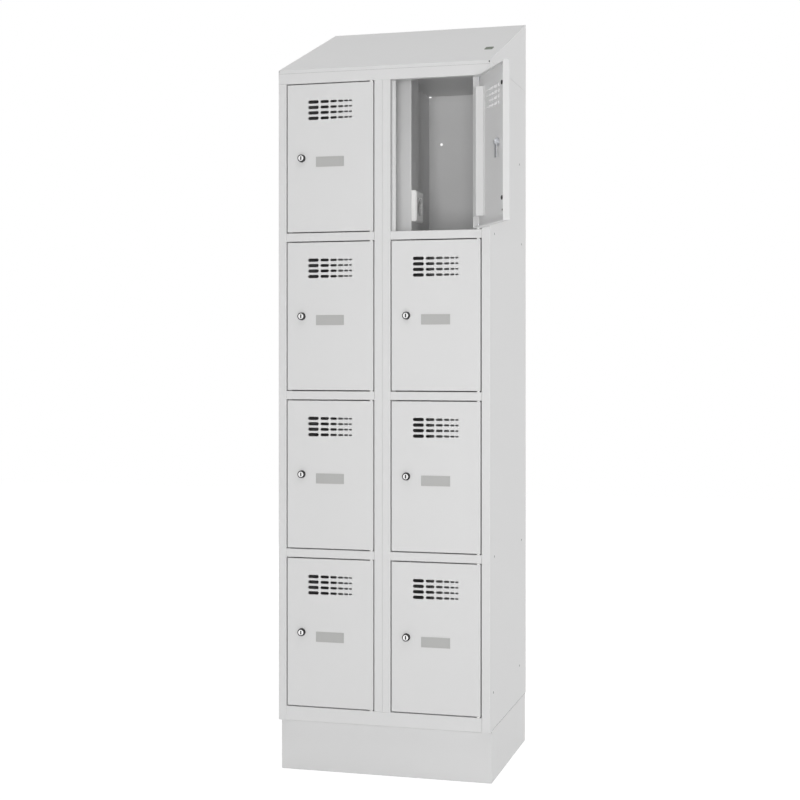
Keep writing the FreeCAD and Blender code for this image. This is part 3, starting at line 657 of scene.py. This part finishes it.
def cam_bolts():
    """A hexagon bolt and its washer that hold each cam on its plug."""
    washer = [(0, 0), (washer_radius - bolt_corner, 0), (washer_radius, washer_edge_low),
              (washer_radius, washer_edge_high), (washer_radius - bolt_corner, washer_height),
              (0, washer_height)]
    head = [(0, washer_height), (cam_bolt_radius, washer_height),
            (cam_bolt_radius, cam_bolt_height - bolt_corner),
            (cam_bolt_radius - bolt_corner, cam_bolt_height), (0, cam_bolt_height)]
    washer_mesh = turned_mesh("cam_washer", washer, sides=32)
    head_mesh = turned_mesh("cam_bolt", head, sides=6)
    for body, joint in lock_joints.items():
        place = [(along(joint, cam_back), joint["axis"])]
        door = body.removeprefix("lock_")
        spread(f"cam_washer_{door}", washer_mesh, place, "pin_steel", body)
        spread(f"cam_bolt_{door}", head_mesh, place, "pin_steel", body)


def lock_threads():
    """The thread on each lock barrel, from its nut to its end."""
    length = barrel_end - nut_end - 2 * thread_height
    for body, joint in lock_joints.items():
        door = body.removeprefix("lock_")
        thread = new_object(f"lock_thread_{door}", bpy.data.meshes.new("thread"))
        add_tree(thread, thread_winding, Radius=barrel_radius, Ridge=thread_height,
                 Turns=length / thread_pitch, Length=length, Finish=finishes["pin_steel"])
        make_plain(thread)
        thread.data.transform(axis_matrix(along(joint, nut_end + thread_height), joint["axis"]))
        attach(thread, joint["parent"])


def socket_middles():
    """The middle of each socket's floor."""
    return [Vector((low[0] - socket_floor_below, (low[1] + high[1]) / 2, low[2] + socket_middle_above))
            for low, high in sockets]


def outlet_fittings():
    """Plated contact sleeves and the fixing screw on the floor of each socket."""
    sleeve = [(0, -contact_sink), (contact_radius, -contact_sink), (contact_radius, contact_rise),
              (contact_bore, contact_rise), (contact_bore, -contact_bore_sink), (0, -contact_bore_sink)]
    screw = [(across * outlet_screw_radius, up * outlet_screw_height) for across, up in outlet_screw_shares]
    facing = (1, 0, 0)
    middles = socket_middles()
    offsets = [Vector((0, side * contact_pitch / 2, 0)) for side in (-1, 1)]
    contacts = [(middle + offset, facing) for middle in middles for offset in offsets]
    screws = [(middle, facing) for middle in middles]
    spread("socket_contacts", turned_mesh("contact", sleeve, sides=20), contacts, "contact_metal", "carcass")
    spread("outlet_screws", turned_mesh("outlet_screw", screw, sides=20), screws, "pin_steel", "carcass")


spread_layout = spread_tree()
thread_winding = thread_tree(points_per_turn=24, ridge_sides=3)
soft_shading = soft_shading_tree(merge_distance=0.002 * MM, sharp_angle=math.radians(32))
for subpart in frame["record"]["subparts"]:
    cad_node = nodes[subpart["node"]]
    for slot in cad_node.material_slots:
        slot.material = finish_for(subpart["node"], subpart["material_slot"])
    add_tree(cad_node, soft_shading)
    weighting = cad_node.modifiers.new("flat_faces", "WEIGHTED_NORMAL")
    weighting.keep_sharp = True
shelf_rivets()
hole_plugs()
lip_plugs()
seam_shade_strips()
lip_ends()
cam_bolts()
lock_threads()
outlet_fittings()


# Light, floor and camera

def area_lamp(name, place, target, width, power):
    """A square lamp that points at a target."""
    lamp = bpy.data.lights.new(name, "AREA")
    lamp.shape = "SQUARE"
    lamp.size = width
    lamp.energy = power
    obj = new_object(name, lamp)
    obj.location = place
    obj.rotation_euler = (Vector(target) - Vector(place)).to_track_quat("-Z", "Y").to_euler()


def seen_directly(graph):
    """1 for rays from the camera, a mirror or clear plastic, 0 for rays that carry light."""
    path = graph.tree.nodes.new("ShaderNodeLightPath")
    camera, glossy, through = [Field(graph, path.outputs[name])
                               for name in ("Is Camera Ray", "Is Glossy Ray", "Is Transmission Ray")]
    return camera.larger(glossy).larger(through)


def studio_world(level):
    """An even sky that lights at a level and shows as white."""
    world = bpy.data.worlds.new("studio")
    world.use_nodes = True
    bpy.context.scene.world = world
    graph = Graph(world.node_tree)
    light = graph.node("ShaderNodeBackground", {}, {"Strength": level, "Color": grey(1.0)})
    white = graph.node("ShaderNodeBackground", {}, {"Strength": 1.0, "Color": grey(1.0)})
    mixed = graph.node("ShaderNodeMixShader", {}, {0: seen_directly(graph), 1: light, 2: white})
    graph.put(world.node_tree.nodes["World Output"].inputs["Surface"], mixed)


def pale_floor(half_width, tone, glow, glow_share):
    """A white floor that shows as nearly pure white and keeps a soft shadow."""
    mesh = bpy.data.meshes.new("floor")
    corners = [(x * half_width, y * half_width, 0.0) for x, y in ((-1, -1), (1, -1), (1, 1), (-1, 1))]
    mesh.from_pydata(corners, [], [(0, 1, 2, 3)])
    finish = Finish("floor_white")
    finish.set(base_color=grey(tone), roughness=0.9)
    white = finish.node("ShaderNodeEmission", {}, {"Color": grey(1.0), "Strength": glow})
    matt = Field(finish, finish.shader.outputs[0])
    mixed = finish.node("ShaderNodeMixShader", {}, {0: seen_directly(finish) * glow_share, 1: matt, 2: white})
    finish.put(finish.tree.nodes["Material Output"].inputs["Surface"], mixed)
    mesh.materials.append(finish.material)
    new_object("floor", mesh)


def photo_camera():
    """The viewpoint of the picture: a level camera, shifted to frame the cabinet."""
    lens = bpy.data.cameras.new("camera")
    lens.sensor_width = 36.0
    lens.lens = 66.3065
    lens.shift_x = -0.03639
    lens.shift_y = -0.05338
    camera = new_object("camera", lens)
    camera.location = (1.145813, -4.098531, 1.146894)
    level = math.radians(90.0)
    heading = math.radians(14.76)
    camera.rotation_euler = (level, 0.0, heading)
    bpy.context.scene.camera = camera


bpy.context.scene.view_settings.view_transform = "Standard"
studio_world(level=0.34)
pale_floor(half_width=8.0, tone=0.85, glow=1.12, glow_share=0.85)
area_lamp("front_light", place=(0.9, -4.3, 1.15), target=(0.1, 0.0, 1.0), width=1.2, power=78.0)
area_lamp("side_light", place=(4.4, 0.9, 2.0), target=(0.3, 0.0, 1.0), width=3.0, power=71.0)
area_lamp("top_light", place=(0.3, -1.2, 5.0), target=(0.0, 0.0, 1.9), width=3.0, power=47.0)
area_lamp("rear_light", place=(-2.5, 3.6, 2.4), target=(0.0, 0.0, 1.0), width=3.0, power=95.0)
photo_camera()
